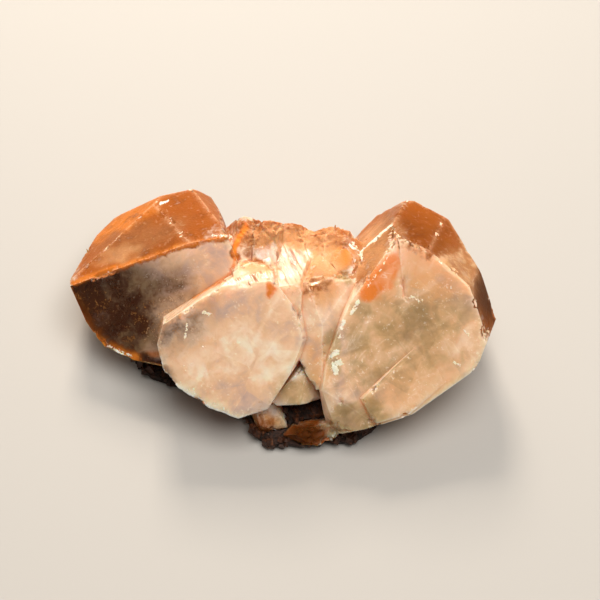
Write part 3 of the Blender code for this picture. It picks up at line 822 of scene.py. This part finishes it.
def body_colour(shade, look, mark, made):
    """The calcite's colour, with its clouds, veils, smoke and flecks, and painted light: a glow near edges,
    highlights on rims and chips, and golden reflections in the smoke.
    """
    tint = shade.mixed(look.mauve, look.olive, (mark.olive * 1.2 + (made.cloud - 0.5)).band(0.1, 0.9))
    # Painted glow near edges that stick out, standing in for light through thin calcite
    glow = mark.glow * (made.puff * 0.8 + 0.1) * (1.0 - mark.olive)
    veils = (made.veil * 0.25 + made.vein * made.veil * 0.4 + made.crack * 0.12) * made.dim * made.dim
    return shade.layered(
        tint,
        (look.peach, made.haze.band(0.32, 0.54)),
        (look.cream, made.haze.band(0.48, 0.70)),
        (look.cream, glow * 0.7),
        (look.tan, (mark.tan * (made.puff * 1.4 + 0.3)).band(0.0, 1.0)),
        (look.olive, mark.olive.band(0.2, 1.0) * (1.2 - made.puff) * 0.8),
        (look.amber, (mark.amber * (0.4 + made.puff + 0.4 * made.crumb)).band(0.2, 0.9) * 0.9),
        (look.cream, veils),
        (look.smoke, (mark.smoke * (0.1 + made.puff + 0.7 * made.crumb)).band(0.1, 0.85)),
        # Painted golden reflections in the smoky parts
        (look.golden_glint, mark.smoke * made.golden_glint * 0.7),
        (look.orange, mark.gloss * made.flute.band(0.52, 0.58) * 0.8),
        # Flecks and chips: partly cracks and broken edges, partly painted glints and highlights
        (look.chip_and_glint, made.fleck_and_glint * 0.5 * made.dim),
        (look.chip_and_glint, made.broken_and_glinting),
        # Painted highlight on rims that turn up
        (look.cream, made.painted_edge_light * 0.7),
        (look.tan, mark.seam * 0.5),
    )


def coat_colour(shade, look, mark, made):
    """The colour of the iron stain on the calcite, with painted highlights on its rims and chips."""
    return shade.layered(
        look.rust,
        (look.orange, made.mottle.band(0.26, 0.54)),
        (look.tan, mark.faded * (0.2 + 1.1 * made.mottle)),
        (look.peach, made.crumb.band(0.57, 0.70) * 0.15),
        (look.smoke, mark.smoke * 0.9),
        (look.amber, mark.amber * made.mottle.band(0.30, 0.50)),
        # Chips, partly painted highlights and glints
        (look.chip_and_glint, made.broken_and_glinting),
        # Painted highlight on rims that turn up
        (look.peach, made.painted_edge_light * 0.5),
    )


def calcite_material(look):
    """Cloudy calcite with clearer, smoky and iron-stained parts."""
    shade = Shading("calcite")
    names = dict.fromkeys((*ZONE_MARKS, *LINE_MARKS, *EDGE_MARKS))
    mark = SimpleNamespace(**{name: shade.stored(name) for name in names})
    made = calcite_patterns(shade, mark)
    lumps = (made.grain * 0.15 + made.puff * 0.2) * (1.0 - mark.smoke * 0.7)
    lumps = lumps + made.grain * mark.stain * 0.4 + made.broken_and_glinting * made.crumb * 2.0
    height = lumps * (1.0 - mark.gloss) + mark.gloss * made.flute * 4.0
    relief = shade.bumped(height, 0.2 * MM)
    cloudy = {
        "Base Color": body_colour(shade, look, mark, made),
        "Roughness": 0.08 + 0.08 * made.puff + 0.25 * mark.rim + 0.1 * made.broken_and_glinting - 0.06 * mark.gloss,
        "IOR": CALCITE_IOR,
        "Subsurface Weight": 1.0,
        "Subsurface Radius": (1.0, 0.7, 0.5),
        "Subsurface Scale": 5.0 * MM,
        "Normal": relief,
    }
    clear = {
        "Base Color": shade.mixed(look.clear, look.clear_smoke, mark.smoke),
        "Roughness": 0.08,
        "IOR": CALCITE_IOR,
        "Transmission Weight": 1.0,
        "Normal": relief,
    }
    stained = {
        "Base Color": coat_colour(shade, look, mark, made),
        "Roughness": 0.3 + 0.2 * made.grain,
        "IOR": CALCITE_IOR,
        "Specular IOR Level": 0.04,
        "Subsurface Weight": 0.6,
        "Subsurface Radius": (1.0, 0.4, 0.2),
        "Subsurface Scale": 2.0 * MM,
        "Normal": relief,
    }
    clearness = 0.58 - made.haze + 0.2 * mark.smoke + 0.15 * mark.olive - 0.2 * mark.cream
    clearness = (clearness - 0.5 * made.broken_and_glinting - 0.2 * made.veil).band(0.0, 1.0)
    ragged = (made.puff - 0.5) * 1.2 + (made.crumb - 0.5) * 0.9
    cover = (mark.stain + ragged * mark.stain.band(0.0, 0.25)).band(0.2, 0.75)
    shaders = {0: clearness, 1: shade.principled(cloudy, True), 2: shade.principled(clear)}
    surface = shade.node("ShaderNodeMixShader", {}, shaders)
    shaders = {0: cover, 1: surface, 2: shade.principled(stained, True)}
    surface = shade.node("ShaderNodeMixShader", {}, shaders)
    inside = shade.node("ShaderNodeVolumeAbsorption", {}, {"Color": (0.90, 0.62, 0.30, 1.0), "Density": 90.0})
    return shade.finished(surface, inside)


def rock_material(look):
    """Dark, iron-stained rock with glassy grains and small glints, whose lighter colour is painted highlight.
    """
    shade = Shading("rock")
    lumps = shade.clouds(3.0 * MM, 6.0, 0.5)
    grain = shade.clouds(0.6 * MM, 4.0)
    glassy = shade.stored("grain")
    # Glint spots: smoother, and lightened in colour as a painted highlight
    glint = (1.0 - shade.cells(0.9 * MM) * 2.4).band(0.4, 0.8) * shade.clouds(2.0 * MM).band(0.5, 0.6)
    body = shade.layered(
        look.dark,
        (look.brown, (lumps * 0.6 + grain * 0.4 + glassy * 0.1).band(0.4, 0.66)),
        (look.glint, (glint + glassy * lumps.band(0.5, 0.7)).band(0.0, 1.0) * 0.7),
    )
    values = {
        "Base Color": body,
        "Roughness": 0.7 - 0.4 * glint - 0.45 * glassy * grain,
        "Specular IOR Level": 0.35,
        "Normal": shade.bumped(lumps * 0.5 + grain * 0.6, 0.5 * MM),
    }
    return shade.finished(shade.principled(values))


def floor_material(look):
    """One pale colour all over."""
    shade = Shading("floor")
    return shade.finished(shade.principled({"Base Color": colour(look.floor_colour), "Roughness": 0.7}))


def crystal_mesh(look):
    """A fine copy of the crystals' solid, and search trees of its edges that stick out and of its seams."""
    mesh = merged_copy("calcite_crystals")
    mark_creases(mesh, CRYSTAL_CREASE)
    edges_out = tree_of(crease_points(mesh, False))
    edges_in = tree_of(crease_points(mesh, True))
    lines = tree_of(line_points())

    def wanted(point):
        near_line = lines.find((*seen_at(point), 0.0))[2] * MM
        near = min(edges_out.find(point)[2], edges_in.find(point)[2], near_line)
        return look.fine_mesh if near < FINE_REACH else look.coarse_mesh

    refine(mesh, wanted)
    even_out(mesh)
    soften(mesh)
    return mesh, edges_out, edges_in


def crystal_surface(data, edges_out, edges_in):
    """What is known of each vertex of the crystals before their relief is worked in."""
    points = [vert.co.copy() for vert in data.vertices]
    places = vectors(data.vertices, "co")
    across, up = picture_places(places)
    return SimpleNamespace(
        places=places,
        normals=vectors(data.vertices, "normal"),
        across=across,
        up=up,
        from_edge=distances(points, edges_out, FARTHEST),
        from_seam=distances(points, edges_in, FARTHEST),
        broad=noise_at(points, BROAD),
        medium=noise_at(points, MEDIUM, 7.0),
        fine=noise_at(points, FINE, 31.0),
        broad_up=noise_at(points, BROAD, 23.0),
        medium_up=noise_at(points, MEDIUM, 19.0),
    )


def crystal_heights(at):
    """How far each vertex of the crystals moves out along its normal."""
    axis = np.array(GROWTH_AXIS)
    climb = axis - at.normals * (at.normals @ axis)[:, None]
    climb /= np.maximum(np.linalg.norm(climb, axis=1), 0.001)[:, None]
    ledge = np.sum(at.places * climb, axis=1) / LEDGE_SPACING
    ledge = ledge + at.broad * LEDGE_BROAD + at.medium * LEDGE_MEDIUM
    ledge = ledge - np.floor(ledge)
    inside = rising(np.minimum(at.from_edge, at.from_seam), *RELIEF_EDGE)
    height = inside * (LEDGE_HEIGHT * (ledge - 0.5) + SWELL_HEIGHT * at.broad + RIPPLE_HEIGHT * at.medium)
    lumps = DRUSE_LUMPS * rising(np.abs(at.medium), 0.0, 0.5) + DRUSE_GRAINS * rising(at.fine, -0.2, 0.4)
    height = height - zone_strength("druse", at.across, at.up, at.normals @ np.array(OUT)) * lumps
    chips = EDGE_WEAR + CHIP_DEPTH * rising(at.medium + 0.5 * at.fine, 0.15, 0.7)
    return (height - (1.0 - rising(at.from_edge, *CHIP_EDGE)) * chips) * MM


def crystal_marks(data, at):
    """The marks of each corner of the crystals' mesh, for their material."""
    corner_vertex = vertex_of_corners(data)
    corner_normals = np.repeat(vectors(data.polygons, "normal"), 3, axis=0)
    facing = corner_normals @ np.array(OUT)
    across = at.across[corner_vertex]
    up = at.up[corner_vertex]
    wobble_across = (MEDIUM_WOBBLE * at.medium + BROAD_WOBBLE * at.broad)[corner_vertex]
    wobble_up = (MEDIUM_WOBBLE * at.medium_up + BROAD_WOBBLE * at.broad_up)[corner_vertex]
    marks = {}
    for kind in ZONE_MARKS:
        marks[kind] = zone_strength(kind, across + wobble_across, up + wobble_up, facing)
    hidden = rising(-facing, *HIDDEN)
    coated = hidden * np.clip(0.75 + 0.9 * at.broad[corner_vertex] + 0.4 * corner_normals[:, 2], 0.0, 1.0)
    marks["stain"] = np.maximum(marks["stain"], coated)
    for kind in LINE_MARKS:
        drawn = line_strength(kind, across + LINE_WOBBLE * wobble_across, up + LINE_WOBBLE * wobble_up)
        marks[kind] = np.maximum(marks.get(kind, 0.0), drawn * (facing > 0.0))
    marks["stain"] *= 1.0 - 0.9 * marks["gloss"]
    # Painted highlight on rims that turn up, which also roughens them, and painted glow near edges
    lit = rising(at.normals[:, 2], *LIT)
    marks["rim"] = (np.exp(-at.from_edge / RIM_HIGHLIGHT_REACH) * lit)[corner_vertex]
    marks["glow"] = np.exp(-at.from_edge / PAINTED_GLOW_REACH)[corner_vertex]
    marks["seam"] = np.exp(-at.from_seam / SEAM_REACH)[corner_vertex]
    return marks


def dress_crystals(look):
    """The crystals: growth steps, chips and colours on a fine copy of their solid."""
    mesh, edges_out, edges_in = crystal_mesh(look)
    piece = as_piece(mesh, "crystals", calcite_material(look))
    data = piece.data
    at = crystal_surface(data, edges_out, edges_in)
    moved = at.places + at.normals * crystal_heights(at)[:, None]
    move_within(data, moved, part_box("calcite_crystals"))
    for name, values in crystal_marks(data, at).items():
        store(data, name, values)
    data.update()
    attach(piece, "root")
    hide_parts("calcite_crystals")


def dress_rock(look):
    """The rock: a crust of lumps, pits and small crystals on a fine copy of its solid."""
    mesh = merged_copy("matrix_rock")
    mark_creases(mesh, ROCK_CREASE)
    refine(mesh, lambda point: look.mesh_size)
    above = [face for face in mesh.faces if face.calc_center_median().z > GRAINS_ABOVE]
    faces = [face for face in above if face.normal.z > GRAINS_STEEPEST]
    grains = bmesh.new()
    plant(grains, faces, ROCK_GRAINS, ROCK_GRAIN_SIZES, random.Random(GRAIN_SEED))
    plain_count = join_grains(mesh, grains)
    piece = as_piece(mesh, "rock", rock_material(look))
    data = piece.data
    points = [vert.co.copy() for vert in data.vertices]
    places = vectors(data.vertices, "co")
    normals = vectors(data.vertices, "normal")
    crust = np.abs(noise_at(points, CRUST_LUMPS, 3.0)) + 0.5 * np.abs(noise_at(points, CRUST_PITS, 5.0))
    height = -look.roughness_height * crust * rising(places[:, 2], *CRUST_FOOT)
    height[plain_count:] = 0.0
    move_within(data, places + normals * height[:, None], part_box("matrix_rock"))
    store(data, "grain", vertex_of_corners(data) >= plain_count)
    data.update()
    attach(piece, "root")
    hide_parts("matrix_rock")


def aimed(maker, name, place, target):
    """An object at a place, turned so that its -Z looks at the target."""
    thing = bpy.data.objects.new(name, maker)
    thing.location = place
    thing.rotation_mode = "QUATERNION"
    thing.rotation_quaternion = (target - place).to_track_quat("-Z", "Y")
    bpy.context.scene.collection.objects.link(thing)
    return thing


def soft_light(name, power):
    """One of the square lights that shine on the specimen."""
    way, distance, width, tint = LIGHTS[name]
    lamp = bpy.data.lights.new(name, "AREA")
    lamp.size = width
    lamp.energy = power
    lamp.color = tint
    aimed(lamp, name, VIEW_TARGET + Vector(way).normalized() * distance, VIEW_TARGET)


def set_stage(look):
    """The floor, the lights and the camera."""
    scene = bpy.context.scene
    mesh = bmesh.new()
    bmesh.ops.create_grid(mesh, x_segments=1, y_segments=1, size=look.floor_size / 2.0)
    floor = as_piece(mesh, "floor", floor_material(look))
    soft_light("key", look.key_power)
    soft_light("back", look.back_power)
    soft_light("fill", look.fill_power)
    world = bpy.data.worlds.new("studio")
    world.use_nodes = True
    background = world.node_tree.nodes["Background"]
    tint, strength = SURROUNDINGS
    background.inputs["Color"].default_value = tint
    background.inputs["Strength"].default_value = strength
    scene.world = world
    scene.view_settings.view_transform = "Standard"
    camera = bpy.data.cameras.new("camera")
    camera.sensor_width = SENSOR_WIDTH
    camera.lens = SENSOR_WIDTH * VIEW_DISTANCE / VIEW_WIDTH
    camera.clip_start = 0.01
    scene.camera = aimed(camera, "camera", VIEW_TARGET + OUT * VIEW_DISTANCE, VIEW_TARGET)


class CALCITE_OT_crystals(bpy.types.Operator):
    """Makes the crystals with their growth steps, chips and colours"""

    bl_idname = "calcite.crystals"
    bl_label = "Crystals"

    def execute(self, context):
        dress_crystals(context.scene.calcite_crystals)
        return {"FINISHED"}


class CALCITE_OT_rock(bpy.types.Operator):
    """Makes the rock that the crystals stand on"""

    bl_idname = "calcite.rock"
    bl_label = "Rock"

    def execute(self, context):
        dress_rock(context.scene.calcite_rock)
        return {"FINISHED"}


class CALCITE_OT_stage(bpy.types.Operator):
    """Sets up the floor, the lights and the camera"""

    bl_idname = "calcite.stage"
    bl_label = "Stage"

    def execute(self, context):
        set_stage(context.scene.calcite_stage)
        return {"FINISHED"}


class CALCITE_PT_panel(bpy.types.Panel):
    """Lists the specimen's pieces and their settings"""

    bl_label = "Calcite Specimen"
    bl_space_type = "VIEW_3D"
    bl_region_type = "UI"
    bl_category = "Calcite"

    def draw(self, context):
        for part in ("crystals", "rock", "stage"):
            settings = getattr(context.scene, "calcite_" + part)
            box = self.layout.box()
            box.operator("calcite." + part)
            for name in settings.__annotations__:
                box.prop(settings, name)


CLASSES = (
    CrystalSettings,
    RockSettings,
    StageSettings,
    CALCITE_OT_crystals,
    CALCITE_OT_rock,
    CALCITE_OT_stage,
    CALCITE_PT_panel,
)


def register():
    for made in CLASSES:
        bpy.utils.register_class(made)
    bpy.types.Scene.calcite_crystals = bpy.props.PointerProperty(type=CrystalSettings)
    bpy.types.Scene.calcite_rock = bpy.props.PointerProperty(type=RockSettings)
    bpy.types.Scene.calcite_stage = bpy.props.PointerProperty(type=StageSettings)


def unregister():
    del bpy.types.Scene.calcite_crystals
    del bpy.types.Scene.calcite_rock
    del bpy.types.Scene.calcite_stage
    for made in reversed(CLASSES):
        bpy.utils.unregister_class(made)


def main():
    register()
    bpy.ops.calcite.stage()
    bpy.ops.calcite.crystals()
    bpy.ops.calcite.rock()


if __name__ == "__main__":
    main()
